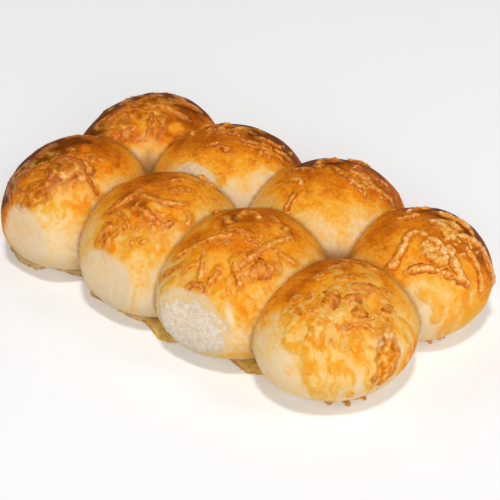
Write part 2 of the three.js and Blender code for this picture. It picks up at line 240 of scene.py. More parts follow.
BROWN = {
    "front1": [
        (217, 37, -115, 30, 17, 0.7), (294, 35, -51, 6, 4, 0.3), (62, 30, 0, 22, 16, 0.16),
        # the last patch here is painted shade, on the side towards the rolls behind
        (285, 21, 0, 13, 7, 0.5), (255, 90, 0, 14, 16, 0.22), (45, 52, 0, 16, 10, 0.1),
    ],
    "front2": [
        (258, 49, 72, 7, 4, 0.45), (255, 50, 72, 13, 9, 0.1), (284, 24, 20, 9, 5, 0.25),
        (169, 12, -155, 28, 6, 0.12), (250, 38, 0, 14, 12, 0.07), (238, 23, 0, 9, 5, 0.17),
        (215, 22, 0, 14, 8, 0.1), (135, 22, 0, 12, 6, 0.14), (45, 38, 0, 14, 8, 0.1),
    ],
    "front3": [
        (60, 38, 0, 18, 14, 0.13), (222, 40, 90, 14, 8, 0.22), (285, 38, 0, 12, 7, 0.08),
        # the first patch here is painted shade, low on the side towards the fourth roll
        (305, 88, 0, 30, 16, 0.07), (315, 110, 0, 20, 6, 0.22), (143, 13, 0, 18, 10, 0.13),
        (183, 11, 0, 7, 5, 0.28), (18, 52, 90, 10, 8, 0.06), (75, 32, 0, 16, 12, 0.17),
        (45, 52, 0, 12, 8, 0.12),
    ],
    "front4": [
        (122, 19, 177, 21, 6, 0.14), (190, 25, 0, 20, 10, 0.22), (222, 45, 90, 18, 10, 0.2),
        (80, 36, 0, 20, 7, 0.26), (88, 22, 0, 16, 8, 0.14), (15, 96, 0, 14, 9, 0.4),
        (45, 48, 90, 16, 9, 0.1), (10, 38, 0, 10, 6, 0.08),
    ],
    "back1": [
        (235, 36, -116, 22, 10, 0.35), (12, 38, 90, 12, 20, 0.34), (72, 34, 0, 12, 16, 0.58),
        (262, 28, 0, 20, 11, 0.32), (345, 40, 90, 12, 9, 0.26), (0, 0, 0, 14, 12, 0.12),
    ],
    "back2": [
        (202, 35, -9, 14, 6, 0.2), (60, 28, 0, 24, 14, 0.17), (205, 25, 90, 22, 12, 0.12),
        (45, 48, 0, 10, 9, 0.1), (105, 20, 0, 16, 9, 0.5),
    ],
    "back3": [
        (138, 22, 0, 12, 9, 0.85), (195, 25, 90, 16, 10, 0.1), (12, 48, 90, 16, 8, 0.1),
        (285, 38, 90, 8, 8, 0.06),
    ],
    "back4": [
        (225, 42, 90, 18, 10, 0.18), (275, 54, 0, 16, 9, 0.27), (353, 80, -11, 20, 16, 0.28),
        (20, 48, 90, 22, 12, 0.26), (50, 38, 90, 16, 12, 0.22), (195, 32, 0, 14, 10, 0.1),
        (245, 40, 0, 14, 10, 0.1),
    ],
}
PALE = {
    "front1": [(285, 55, 0, 16, 8, 0.1), (345, 44, 0, 16, 10, 0.1), (325, 37, 0, 10, 9, 0.2)],
    "front2": [
        (304, 20, 0, 4, 3, 0.3), (264, 32, 0, 4, 3, 0.3), (65, 22, 0, 18, 14, 0.1),
        (330, 22, 0, 14, 8, 0.08), (15, 32, 0, 14, 12, 0.06), (315, 42, 0, 9, 8, 0.18),
    ],
    "front3": [
        (12, 23, 0, 12, 8, 0.17), (225, 66, 0, 12, 10, 0.1), (205, 22, 0, 16, 7, 0.08),
        (312, 37, 0, 10, 6, 0.1), (345, 50, 0, 14, 8, 0.08),
    ],
    "front4": [
        (265, 75, 90, 18, 16, 0.08), (38, 20, 0, 20, 10, 0.32), (320, 24, 0, 14, 9, 0.5),
        (0, 60, 90, 16, 16, 0.2), (250, 22, 0, 10, 8, 0.07), (345, 52, 0, 16, 8, 0.1),
        (300, 5, 0, 18, 14, 0.2), (35, 44, 0, 14, 9, 0.08),
    ],
    "back2": [(315, 52, 90, 12, 20, 0.24), (345, 48, 90, 14, 10, 0.2), (310, 23, 0, 14, 8, 0.06)],
    "back3": [
        (322, 40, 0, 24, 10, 0.18), (318, 55, 0, 20, 10, 0.1), (225, 22, 0, 10, 8, 0.06),
        (280, 20, 0, 14, 8, 0.06), (195, 38, 0, 12, 8, 0.08), (75, 30, 0, 18, 12, 0.16),
        (45, 38, 0, 14, 8, 0.1), (225, 52, 0, 12, 8, 0.1), (45, 52, 0, 12, 8, 0.1),
    ],
    "back4": [
        (318, 66, 0, 18, 18, 0.2), (345, 64, 0, 14, 12, 0.24), (280, 20, 0, 10, 8, 0.1),
        (318, 50, 0, 14, 8, 0.06),
    ],
    "back1": [
        (2, 35, 0, 5, 4, 0.3), (321, 52, 0, 20, 9, 0.22), (22, 21, 0, 14, 7, 0.16),
        (314, 20, 0, 11, 9, 0.14), (44, 44, 0, 10, 12, 0.22),
    ],
}
TORN = {
    "front3": [(273, 85, -10, 23, 16.5, 1.0)],
    "back2": [(276, 41, 0, 14, 9, 0.9)],
}
LACE = {"front4": 1.0, "front1": 0.4, "back1": 0.3}  # rolls whose film set in a net of bubbles
# Creases and seams in the crust: bearing, tilt, heading, half length, half width, rise
FOLDS = {
    "front1": [(315, 88, 45, 7, 1.7, -0.9)],
    "front2": [(293, 85, 103, 22, 1.8, -0.7)],
    "front3": [(304, 68, 80, 12, 3.3, 0.6)],
}
# Cheese baked to a rough crust; the strength also sets how pale it is
CRISP = {
    "front1": [(320, 28, -14, 12, 7, 0.7), (279, 43, -63, 13, 7, 0.55)],
    "front3": [(332, 40, -3, 8, 3.5, 0.6)],
    "front4": [(348, 81, 112, 12.5, 7, 0.72)],
    "back1": [(242, 15, -93, 16, 7, 0.5), (341, 11, 0, 13, 6, 0.5)],
    "back2": [(144, 11, -156, 13, 3.5, 0.75), (25, 28, 84, 13, 4, 0.75)],
    "back3": [(34, 26, 100, 18, 4, 0.75)],
    "back4": [
        (334, 29, 67, 8, 5.5, 1.0), (33, 18, 114, 9, 4, 0.85), (24, 40, 72, 9, 3.3, 0.5),
        (25, 64, 89, 9, 3.3, 0.6), (345, 60, 46, 5, 2.8, 0.65), (15, 22, 100, 7, 4.5, 0.97),
        (45, 22, 110, 7, 3.5, 0.85),
    ],
}
# Patches thick with small bits of cheese: bearing, tilt, radius, how many, their size
ROUGH = {
    "front1": [(265, 35, 20, 24, 1.0), (200, 45, 24, 20, 1.1)],
    "front2": [(270, 35, 18, 14, 1.0)],
    "front3": [(330, 22, 18, 7, 1.0)],
    "front4": [(300, 35, 16, 6, 0.8)],
    "back1": [(150, 25, 25, 28, 1.2), (230, 40, 20, 6, 1.0)],
    "back2": [(50, 30, 18, 14, 1.1), (120, 20, 16, 9, 1.2)],
    "back3": [(45, 30, 16, 10, 1.1)],
    "back4": [(345, 30, 12, 6, 1.2), (25, 40, 15, 10, 1.2)],
}
BIT_SEED = 41
# How much paler the cheese on each roll is, below 0 for darker
CHEESE_TONE = {
    "front1": -0.2, "front2": -0.05, "front3": -0.08, "front4": -0.05,
    "back1": -0.15, "back2": -0.3, "back3": -0.25, "back4": -0.05,
}
# How far the foot of a roll lies in shade, where that is not fully
FOOT_SHADE = {"front4": 0.65, "back4": 0.6}

# Camera, from the photograph's viewing angle
CAMERA_AZIMUTH = 41.1
CAMERA_ELEVATION = 34.8
CAMERA_ROLL = -1.3
CAMERA_DISTANCE = 837.0
CAMERA_TARGET = (4.8, 2.5, 16.0)
CAMERA_LENS = 108.4
SENSOR_WIDTH = 36.0

# Soft square lights: name, azimuth, elevation, size in metres, energy, whether it shows as highlights
LIGHTS = [
    ("front", 50.0, 25.0, 1.6, 38.0, False),
    ("top", 45.0, 75.0, 0.4, 37.0, True),
    ("right", 118.0, 40.0, 1.0, 16.0, True),
    ("left", -40.0, 30.0, 1.0, 11.5, False),
    ("back", 215.0, 30.0, 1.0, 6.0, False),
]
LIGHT_DISTANCE = 3.0
WORLD_STRENGTH = 0.06
FLOOR_HALF_WIDTH = 3.0
FLOOR_RAMP = [(0.3, (0.93, 0.93, 0.93)), (0.7, (0.95, 0.95, 0.95))]


# Plain mathematics

def smoothstep(low, high, value):
    t = np.clip((value - low) / (high - low), 0.0, 1.0)
    return t * t * (3.0 - 2.0 * t)


def smooth_max(a, b, radius):
    overlap = np.maximum(radius - np.abs(a - b), 0.0)
    return np.maximum(a, b) + overlap * overlap / (4.0 * radius)


def unit(vectors):
    return vectors / np.maximum(np.linalg.norm(vectors, axis=-1, keepdims=True), 1e-9)


def noise(points, size, seed):
    """Gradient noise from about -1 to 1, with features of the given size in millimetres."""
    place = points / size
    cell = np.floor(place).astype(np.int64)
    part = place - cell
    blend = part * part * part * (part * (part * 6.0 - 15.0) + 10.0)
    total = np.zeros(len(points))
    for corner in np.ndindex(2, 2, 2):
        key = cell + corner
        code = (key[:, 0] * 73856093) ^ (key[:, 1] * 19349663) ^ (key[:, 2] * 83492791) ^ (seed * 2654435761)
        code = ((code ^ (code >> 13)) * 1274126177) & 0xFFFFFFFF
        code = code ^ (code >> 16)
        turn = (code & 0xFFFF) / 65536.0 * 2.0 * math.pi
        rise = ((code >> 16) & 0xFFFF) / 32768.0 - 1.0
        flat = np.sqrt(1.0 - rise * rise)
        away = part - corner
        slope = away[:, 0] * flat * np.cos(turn) + away[:, 1] * flat * np.sin(turn) + away[:, 2] * rise
        weight = np.prod(np.where(np.array(corner) == 1, blend, 1.0 - blend), axis=1)
        total += weight * slope
    return total * 1.6


def layered(points, layers):
    return sum(strength * noise(points, size, seed) for strength, size, seed in layers)


# The rolls as rounded forms

def roll_axes(roll, above_belly):
    depth = np.where(above_belly, roll["height"] - BELLY_HEIGHT, TUCK_DEPTH)
    half = roll["half"]
    return np.stack([np.full_like(depth, half[0]), np.full_like(depth, half[1]), depth], axis=-1)


def heart(roll):
    return np.array([roll["middle"][0], roll["middle"][1], BELLY_HEIGHT])


def way_out(roll, points):
    """The way from a roll's heart to points, as if the roll were a ball of radius 1, and its axes there."""
    axes = roll_axes(roll, points[..., 2] >= BELLY_HEIGHT)
    return unit((points - heart(roll)) / axes), axes


def settle(roll, point):
    """The crust point on the line from the roll's heart through a point, and the outward normal there."""
    way, axes = way_out(roll, point)
    return heart(roll) + way * axes, unit(way / axes)


def crust_point(roll, bearing, tilt):
    b, t = math.radians(bearing), math.radians(tilt)
    way = np.array([math.sin(t) * math.cos(b), math.sin(t) * math.sin(b), math.cos(t)])
    return settle(roll, heart(roll) + way * roll_axes(roll, np.asarray(tilt <= 90)))


def crust_frame(roll, bearing, tilt, heading):
    """A crust point with its normal, the direction of the heading along the crust, and the one across it."""
    point, normal = crust_point(roll, bearing, tilt)
    b, h = math.radians(bearing), math.radians(heading)
    east = np.array([-math.sin(b), math.cos(b), 0.0])
    east = unit(east - normal * (east @ normal))
    down = np.cross(east, normal)
    ahead = east * math.cos(h) + down * math.sin(h)
    return point, normal, ahead, np.cross(normal, ahead)


def kiss_plane(roll):
    bearing, tilt, depth = roll["kiss"]
    point, normal = crust_point(roll, bearing, tilt)
    return point - normal * depth, normal


def roll_distance(roll, points):
    """About the distance from points to one roll's crust, negative inside."""
    axes = roll_axes(roll, points[:, 2] >= BELLY_HEIGHT)
    offset = points - heart(roll)
    near = np.linalg.norm(offset / axes, axis=1)
    slope = np.linalg.norm(offset / (axes * axes), axis=1)
    distance = near * (near - 1.0) / np.maximum(slope, 1e-6)
    if "kiss" in roll:
        point, normal = kiss_plane(roll)
        distance = smooth_max(distance, (points - point) @ normal, KISS_ROUND)
    return distance


def box_distance(points, half_length, half_width, height):
    middle = np.array([0.0, 0.0, height / 2])
    outside = np.abs(points - middle) - np.array([half_length, half_width, height / 2])
    return np.linalg.norm(np.maximum(outside, 0.0), axis=1) + np.minimum(outside.max(axis=1), 0.0)


def batch_distance(points, lumpy):
    """About the distance to the crust of the whole batch, with soft creases and a flat base."""
    parts = [roll_distance(roll, points) + lumpy for roll in ROLLS.values()]
    parts.append(box_distance(points, CORE_HALF_LENGTH, SHEET_HALF_WIDTH, SHEET_HEIGHT))
    parts.append(box_distance(points, CORE_HALF_LENGTH, CORE_HALF_WIDTH, CORE_HEIGHT))
    parts = np.array(parts)
    least = parts.min(axis=0)
    joined = least - CREASE_ROUND * np.log(np.exp((least - parts) / CREASE_ROUND).sum(axis=0))
    return smooth_max(joined, -points[:, 2], BASE_ROUND)


def slope_of(points, lumpy):
    """Gradient of batch_distance, from the four corners of a small tetrahedron."""
    reach = 0.05
    total = np.zeros_like(points)
    for corner in ((1, 1, 1), (1, -1, -1), (-1, 1, -1), (-1, -1, 1)):
        step = np.array(corner, dtype=float)
        total += step * batch_distance(points + step * reach, lumpy)[:, None]
    return total / (4.0 * reach)


def onto_crust(points, rounds=3):
    """Moves points onto the smooth lumpy crust, and returns them with their normals."""
    lumpy = layered(points, LUMPS)
    for _ in range(rounds):
        slope = slope_of(points, lumpy)
        steep = np.maximum((slope * slope).sum(axis=1), 0.05)
        move = (batch_distance(points, lumpy) / steep)[:, None] * slope
        points = points - np.clip(move, -1.0, 1.0)
    return points, unit(slope_of(points, lumpy))


# Strands of cheese along the crust

def strand_path(roll, row):
    """Points along a strand's middle line, marched both ways from its middle as in the solid."""
    bearing, tilt, heading, length, curl = row[:5]
    halves = []
    for way in (-1, 1):
        point, normal, ahead, _ = crust_frame(roll, bearing, tilt, heading)
        direction = ahead * way
        turn = -way * math.radians(curl) / 2 / PATH_STEPS
        half = [point]
        for _ in range(PATH_STEPS):
            direction = direction * math.cos(turn) + np.cross(normal, direction) * math.sin(turn)
            point, normal = settle(roll, point + direction * (length / 2 / PATH_STEPS))
            direction = unit(direction - normal * (direction @ normal))
            half.append(point)
        halves.append(half)
    return np.array(halves[0][:0:-1] + halves[1])


def even_points(path, gap):
    """The same line with points at even gaps, and how far along it each lies."""
    lengths = np.concatenate([[0.0], np.cumsum(np.linalg.norm(np.diff(path, axis=0), axis=1))])
    count = max(4, int(round(lengths[-1] / gap)) + 1)
    places = np.linspace(0.0, lengths[-1], count)
    return np.stack([np.interp(places, lengths, path[:, axis]) for axis in range(3)], axis=1), places


def hidden_shreds():
    """The shreds on the far sides, drawn in the same order as in the solid."""
    state = HIDDEN_SEED
    found = {}
    for name in NAMES:
        rows = []
        for _ in range(HIDDEN_SHREDS):
            row = []
            for low, high in HIDDEN_RANGES:
                state = (state * 1664525 + 1013904223) & 0xFFFFFFFF
                row.append(low + (high - low) * state / 2 ** 32)
            rows.append(tuple(row))
        found[name] = rows
    return found


def small_bits(rng):
    """Short bits of cheese scattered in the rough patches."""
    found = {}
    for name, patches in ROUGH.items():
        roll = ROLLS[name]
        rows = []
        for bearing, tilt, radius, count, size in patches:
            point, normal, ahead, side = crust_frame(roll, bearing, tilt, 0)
            for _ in range(count):
                far, turn = radius * math.sqrt(rng.random()), rng.random() * 2 * math.pi
                place = point + ahead * far * math.cos(turn) + side * far * math.sin(turn)
                way, _ = way_out(roll, place)
                at = (math.degrees(math.atan2(way[1], way[0])), math.degrees(math.acos(way[2])))
                rows.append((*at, rng.uniform(0, 360), size * rng.uniform(2, 5.5), rng.uniform(-50, 50),
                             size * rng.uniform(1.4, 2.6)))
        found[name] = rows
    return found


def all_strands():
    """Every strand with its roll, kind, line, width, height and how melted it is."""
    rng = np.random.default_rng(BIT_SEED)
    hidden, bits = hidden_shreds(), small_bits(rng)
    strands = []
    for index, name in enumerate(NAMES):
        roll = ROLLS[name]
        for kind, rows, height in (
            ("shred", roll["shreds"] + hidden[name], SHRED_HEIGHT),
            ("bit", BITS.get(name, []) + bits.get(name, []), BIT_HEIGHT),
            ("drip", DRIPS.get(name, ()), 0.0),
        ):
            for row in rows:
                line, along = even_points(strand_path(roll, row), SHRED_RING_GAP)
                melt = 1.0 if kind == "drip" else roll["melt"]
                strands.append(dict(roll=index, kind=kind, line=line, along=along, width=row[5], melt=melt,
                                    height=height * (1.0 - 0.5 * melt),
                                    tone=CHEESE_TONE[name] - 0.2 * rng.random()))
    return strands


def distance_to_line(points, normals, line):
    """Distance along the crust from points to a line."""
    start, step = line[:-1], np.diff(line, axis=0)
    offset = points[:, None, :] - start[None]
    part = np.clip((offset * step).sum(axis=2) / np.maximum((step * step).sum(axis=1), 1e-9), 0.0, 1.0)
    gap = offset - part[..., None] * step
    gap = gap - (gap * normals[:, None, :]).sum(axis=2, keepdims=True) * normals[:, None, :]
    return np.sqrt((gap * gap).sum(axis=2).min(axis=1))


# The bread

# The fields that its material reads at each point
PAINTED = (
    "brown", "film", "lace", "strand_rim_and_shade", "torn", "flat", "fold", "crisp", "crease_shadow", "shaded_valley", "pit_brown_and_shade", "foot",
)


def add_object(name, data):
    added = bpy.data.objects.new(name, data)
    bpy.context.scene.collection.objects.link(added)
    return added


def raw_batch():
    """Rolls and filling as overlapping closed meshes, joined into one by a voxel remesh."""
    bm = bmesh.new()
    for roll in ROLLS.values():
        made = bmesh.ops.create_uvsphere(bm, u_segments=72, v_segments=40, radius=1.0)
        for vert in made["verts"]:
            way = np.array(vert.co)
            place = heart(roll) + way * roll_axes(roll, np.asarray(way[2] >= 0))
            vert.co = (place[0], place[1], max(place[2], 0.0))
    for half_width, height in ((SHEET_HALF_WIDTH, SHEET_HEIGHT), (CORE_HALF_WIDTH, CORE_HEIGHT)):
        size = Matrix.Diagonal((2 * CORE_HALF_LENGTH, 2 * half_width, height, 1.0))
        bmesh.ops.create_cube(bm, size=1.0, matrix=Matrix.Translation((0, 0, height / 2)) @ size)
    mesh = bpy.data.meshes.new("bread")
    bm.to_mesh(mesh)
    bm.free()
    bread = add_object("bread", mesh)
    remesh = bread.modifiers.new("join", "REMESH")
    remesh.mode = "VOXEL"
    remesh.voxel_size = VOXEL
    bpy.context.view_layer.update()
    joined = bpy.data.meshes.new_from_object(bread.evaluated_get(bpy.context.evaluated_depsgraph_get()))
    bread.modifiers.clear()
    bread.data = joined
    return bread


def get_points(mesh):
    flat = np.empty(len(mesh.vertices) * 3, dtype=np.float32)
    mesh.vertices.foreach_get("co", flat)
    return flat.reshape(-1, 3).astype(float)


def set_points(mesh, points):
    mesh.vertices.foreach_set("co", (points * MM).astype(np.float32).ravel())
    mesh.update()


def set_field(mesh, name, values):
    field = mesh.attributes.new(name, "FLOAT", "POINT")
    field.data.foreach_set("value", np.asarray(values, dtype=np.float32))


def patch_reach(roll, row, points):
    """How far points are from the middle of a patch, where 1 is its edge, and how far up it they lie."""
    bearing, tilt, heading, half_length, half_width = row[:5]
    point, normal, ahead, side = crust_frame(roll, bearing, tilt, heading)
    offset = points - point
    return np.hypot(offset @ ahead / half_length, offset @ side / half_width), offset[:, 2], normal


def patch_field(table, points, normals, owner, ragged, soft=(1.35, 0.55)):
    """How strongly the patches of a table cover each point, with ragged edges."""
    field = np.zeros(len(points))
    for name, rows in table.items():
        mine = np.flatnonzero(owner == NAMES.index(name))
        for row in rows:
            far, _, normal = patch_reach(ROLLS[name], row, points[mine])
            cover = row[5] * smoothstep(*soft, far + ragged[mine])
            cover *= smoothstep(0.1, 0.4, normals[mine] @ normal)
            covered = cover < 0 if row[5] < 0 else cover > field[mine]
            field[mine] = np.where(covered, cover, field[mine])
    return field


def of_owner(table, usual, owner):
    """The value of each point's own roll in a table, or the usual value."""
    return np.array([table.get(name, usual) for name in NAMES])[owner]


def brown_field(points, normals, owner, distances, coarse, middling):
    """How browned the crust is: most on top and on the shady sides, least where rolls touched."""
    gap = np.sort(distances, axis=0)[1]
    heights = np.array([roll["height"] for roll in ROLLS.values()])[owner]
    topness = points[:, 2] / heights + 0.04 * coarse
    shady = smoothstep(0.1, 0.8, normals[:, :2] @ np.array(SHADY_SIDE))
    brown = np.interp(topness, *BROWN_BY_HEIGHT)
    beside = smoothstep(14.0, 0.0, gap)
    brown *= 1.0 - (0.4 - 0.4 * shady) * beside
    brown += shady * (0.23 + 0.04 * beside) * smoothstep(0.2, 0.55, topness)
    end = smoothstep(*LEFT_END, points[:, 0]) * smoothstep(-0.15, 0.4, -normals[:, 0])
    rear = smoothstep(*REAR, points[:, 1]) * smoothstep(-0.1, 0.45, normals[:, 1])
    brown += (0.5 * end + 0.46 * rear) * smoothstep(0.1, 0.75, topness) + 0.05 * middling
    brown += patch_field(BROWN, points, normals, owner, 0.25 * middling)
    brown -= patch_field(PALE, points, normals, owner, 0.25 * middling)
    near = smoothstep(-0.35, -0.02, normals @ np.array(NEAR_SIDE))
    return np.clip(brown, 0.0, FAR_BROWNEST + (BROWNEST - FAR_BROWNEST) * near)


def strand_fields(points, normals, owner, strands, ragged):
    """Film that ran out round the strands, and the strip close along them of browned cheese and painted
    shade.
    """
    film, strand_rim_and_shade = np.zeros(len(points)), np.zeros(len(points))
    by_roll = [np.flatnonzero(owner == index) for index in range(len(NAMES))]
    for strand in strands:
        mine = by_roll[strand["roll"]]
        line = strand["line"][::3]
        melt, width = strand["melt"], strand["width"]
        drip = strand["kind"] == "drip"
        reach = 6.0 + width
        low, high = line.min(axis=0) - reach, line.max(axis=0) + reach
        inside = mine[((points[mine] > low) & (points[mine] < high)).all(axis=1)]
        if not len(inside):
            continue
        away = distance_to_line(points[inside], normals[inside], line) - width / 2
        away = np.maximum(away + ragged[inside], 0.0)
        halo = np.exp(-(away / (0.7 + 1.2 * melt)) ** 2) * (0.45 + (0.2 if drip else 0.35) * melt)
        film[inside] = np.maximum(film[inside], halo)
        if not drip:
            strip = np.exp(-(away / (0.9 + 1.4 * melt)) ** 2) * (0.8 - 0.2 * melt)
            strand_rim_and_shade[inside] = np.maximum(strand_rim_and_shade[inside], strip)
    return film, strand_rim_and_shade


def flat_field(points, normals, owner, ragged):
    """The dull flat marks where rolls were pulled off."""
    flat = np.zeros(len(points))
    for index, roll in enumerate(ROLLS.values()):
        if "kiss" in roll:
            point, normal = kiss_plane(roll)
            on_plane = (owner == index) & (normals @ normal > 0.5)
            depth = np.abs((points - point) @ normal) + ragged
            flat = np.maximum(flat, np.where(on_plane, smoothstep(1.6, 0.2, depth), 0.0))
    return flat


def wrinkle_field(points, owner):
    """Rings of wrinkled crust above the torn patch of the third roll."""
    first_ring, ring_gap = 1.12, 0.19
    rings = np.zeros(len(points))
    mine = np.flatnonzero(owner == NAMES.index("front3"))
    far, above, _ = patch_reach(ROLLS["front3"], TORN["front3"][0], points[mine])
    fade = smoothstep(1.02, first_ring, far) * smoothstep(1.6, 1.2, far) * smoothstep(-8.0, 4.0, above)
    wander = 0.06 * noise(points[mine], 9.0, 28)
    rings[mine] = fade * np.cos((far + wander - first_ring) * 2.0 * math.pi / ring_gap)
    return rings


def pulled_rolls():
    """The row that was pulled away in front: the front row once more, but whole."""
    rolls = []
    for name in NAMES[:4]:
        roll = {key: value for key, value in ROLLS[name].items() if key != "kiss"}
        x, y = roll["middle"]
        rolls.append(dict(roll, middle=(x, y - ROW_PITCH)))
    return rolls


def crust_fields(points, normals, strands):
    """What the crust looks like at each point: how browned, filmed with cheese, torn or creased it is, and
    where shade is painted on it.
    """
    distances = np.array([roll_distance(roll, points) for roll in [*ROLLS.values(), *pulled_rolls()]])
    own = distances[:len(NAMES)]
    owner = own.argmin(axis=0)
    _, joint, third = np.sort(own, axis=0)[:3]
    coarse, middling, fine = noise(points, 16.0, 21), noise(points, 6.0, 22), noise(points, 2.6, 23)
    flow = points * np.array(FLOW_STRETCH)
    streak = layered(flow, STREAKS)

    film = patch_field(FILM, points, normals, owner, 0.35 * streak + 0.2 * middling, (1.45, 0.4))
    halo, strand_rim_and_shade = strand_fields(points, normals, owner, strands, 0.6 * middling + 0.5 * fine)
    turned_away = smoothstep(0.15, 0.7, normals[:, :2] @ np.array(DEEP_SIDE))
    along, height = np.abs(points[:, 0]), points[:, 2]
    off_base = smoothstep(0.0, 8.0, height)
    return dict(
        owner=owner,
        brown=brown_field(points, normals, owner, distances, coarse, middling),
        film=np.maximum(film, halo),
        strand_rim_and_shade=strand_rim_and_shade,
        lace=of_owner(LACE, 0.0, owner),
        streak=0.5 + 0.5 * streak,
        torn=patch_field(TORN, points, normals, owner, 0.2 * middling + 0.1 * fine, (1.2, 0.8)),
        flat=flat_field(points, normals, owner, 0.5 * middling),
        fold=patch_field(FOLDS, points, normals, owner, 0.15 * fine, (1.2, 0.0)),
        wrinkle=wrinkle_field(points, owner),
        crisp=patch_field(CRISP, points, normals, owner, 0.4 * middling + 0.35 * fine, (1.4, 0.5)),
        # painted shadow: a dark line along each crease between rolls
        crease_shadow=smoothstep(2.4, 0.0, joint + 0.5 * fine) * smoothstep(0.0, 4.0, height),
        # painted shade in the valleys between rolls, most on the side turned from the light
        shaded_valley=smoothstep(11.0, 0.0, joint) * off_base * (0.15 + 0.85 * turned_away),
        # browning and painted shade where three rolls meet
        pit_brown_and_shade=smoothstep(11.0, 3.0, third) * smoothstep(12.0, 35.0, along),
        # painted shade towards the foot of each roll
        foot=smoothstep(29.0, 4.0, height) * of_owner(FOOT_SHADE, 1.0, owner),
        ravel=smoothstep(5.0, 0.5, joint) * off_base,
        middling=middling,
        fine=fine,
    )


def relief(points, fields):
    """How far the crust stands out for its film of cheese, its torn crumb, its folds and its fine skin."""
    tiny = noise(points, 1.3, 31)
    film = smoothstep(0.2, 0.8, fields["film"])
    rise = film * (0.15 + (0.35 + 0.45 * fields["lace"]) * (fields["streak"] - 0.5) + 0.1 * tiny)
    rise += fields["crisp"] ** 2 * (0.5 + 0.25 * fields["fine"] + 0.1 * tiny)
    rise += 0.06 * tiny + 0.1 * fields["middling"] + 0.35 * fields["ravel"] * fields["fine"]
    rise += fields["torn"] * (-0.6 + 0.3 * fields["fine"] + 0.25 * tiny)
    return rise + fields["fold"] + 0.18 * fields["wrinkle"]


def bake_map(mesh, points, owner):
    """Lays the crust out flat as nine tiles: a disc for each roll, and the underside."""
    tiles_across, filled = 3, 0.48
    widest_tilt, underside_half = math.radians(150.0), 140.0
    underside, underside_height = len(ROLLS), 0.6
    corners = np.empty(len(mesh.loops), dtype=np.int64)
    mesh.loops.foreach_get("vertex_index", corners)
    sizes = np.empty(len(mesh.polygons), dtype=np.int64)
    mesh.polygons.foreach_get("loop_total", sizes)
    face = np.repeat(np.arange(len(sizes)), sizes)
    firsts = np.concatenate([[0], np.cumsum(sizes)[:-1]])
    low = np.maximum.reduceat(points[corners, 2], firsts) < underside_height
    tile = np.where(low, underside, owner[corners[firsts]])[face]
    place = points[corners]
    flat = place[:, :2] / underside_half
    for index, roll in enumerate(ROLLS.values()):
        mine = tile == index
        way, _ = way_out(roll, place[mine])
        tilt = np.arccos(np.clip(way[:, 2], -1.0, 1.0)) / widest_tilt
        flat[mine] = tilt[:, None] * unit(way[:, :2])
    corner = np.stack([tile % tiles_across, tile // tiles_across], axis=1)
    spots = (corner + 0.5 + filled * np.clip(flat, -1.0, 1.0)) / tiles_across
    layer = mesh.uv_layers.new(name="OFBake")
    layer.data.foreach_set("uv", spots.astype(np.float32).ravel())


def make_bread(strands):
    bread = raw_batch()
    mesh = bread.data
    points, normals = onto_crust(get_points(mesh), rounds=4)
    fields = crust_fields(points, normals, strands)
    dressed = points + normals * relief(points, fields)[:, None]
    dressed[:, 2] = np.maximum(dressed[:, 2], 0.0)
    set_points(mesh, dressed)
    for name in PAINTED:
        set_field(mesh, name, fields[name])
    bake_map(mesh, points, fields["owner"])
    mesh.shade_smooth()
    return bread


# The shreds

def shred_section(melt):
    """Across and up the outline of a strand, broader at the foot the more it melted, and what is below."""
    foot = SHRED_FOOT + 0.7 * melt
    over = np.linspace(foot, -foot, SHRED_TOP)
    bell = (1.0 - (over / foot) ** 2) ** (0.6 + 1.6 * melt)
    under = np.zeros(len(SHRED_UNDER))
    below = np.concatenate([np.zeros(SHRED_TOP), under + 1.0])
    return np.concatenate([over, SHRED_UNDER]), np.concatenate([bell, under]), below


def shred_rings(strand, path, up, thick, tall):
    """The rings of points round one strand, and how high up its outline each point is."""
    across, bell, below = shred_section(strand["melt"])
    side = unit(np.cross(unit(np.gradient(path, axis=0)), up))
    along, width = strand["along"], strand["width"]
    to_end = np.minimum(along, along[-1] - along) / (0.7 * width)
    cap = np.sqrt(1.0 - (1.0 - np.clip(to_end, 0.03, 1.0)) ** 2)
    half = width / 2 * cap * np.clip(1.0 + 0.5 * thick, 0.4, 1.5)
    high = strand["height"] * cap ** 0.6 * np.clip(0.9 + 0.5 * tall, 0.2, 1.5)
    rise = high[:, None] * bell - SHRED_SINK - SHRED_DEPTH * below
    out = half[:, None] * across
    spots = path[:, None] + side[:, None] * out[..., None]
    out = out * (1.0 + 0.3 * noise(spots.reshape(-1, 3), 2.8, 58).reshape(out.shape))
    rings = path[:, None] + side[:, None] * out[..., None] + up[:, None] * rise[..., None]
    return rings.reshape(-1, 3), np.tile(bell, len(path))


